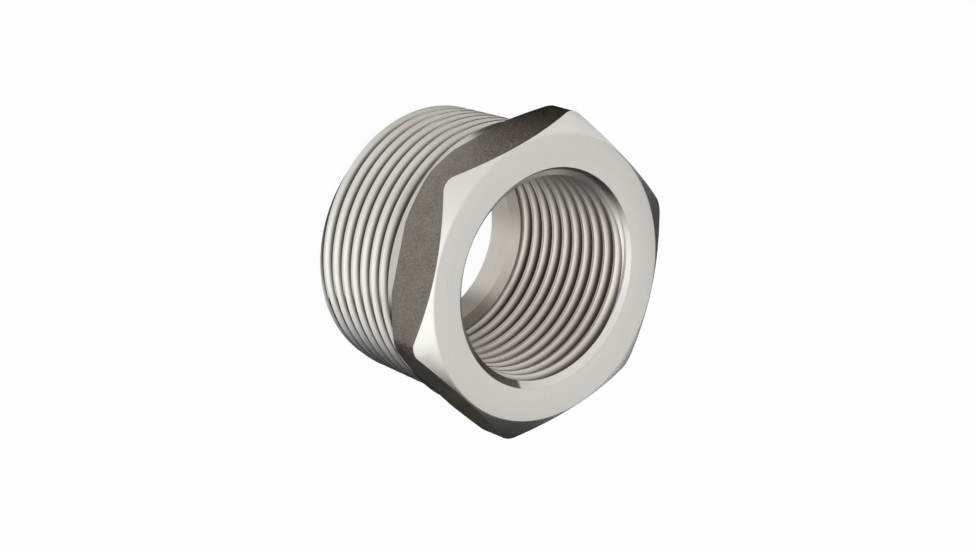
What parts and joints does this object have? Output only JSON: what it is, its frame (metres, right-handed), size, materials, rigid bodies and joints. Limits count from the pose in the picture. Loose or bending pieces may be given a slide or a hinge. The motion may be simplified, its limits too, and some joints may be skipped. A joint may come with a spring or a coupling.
{
  "type": "hex bushing",
  "caption": "Stainless reducing hexagon bushing with a 1 1/4 inch taper male thread, a 1 inch female thread and a chamfered hex head.",
  "frame": {"origin": "centre of the annular face at the small end of the male thread, on the axis", "axes": "+Z along the axis from the small end of the male thread to the hexagon head; two flats of the hexagon face +Y and -Y"},
  "size_m": [0.0494, 0.0434, 0.0287],
  "materials": {
    "stainless_steel": "machined threads and face, matt forged flats"
  },
  "bodies": {
    "root": {"hex_bushing": "stainless_steel"}
  },
  "joints": []
}
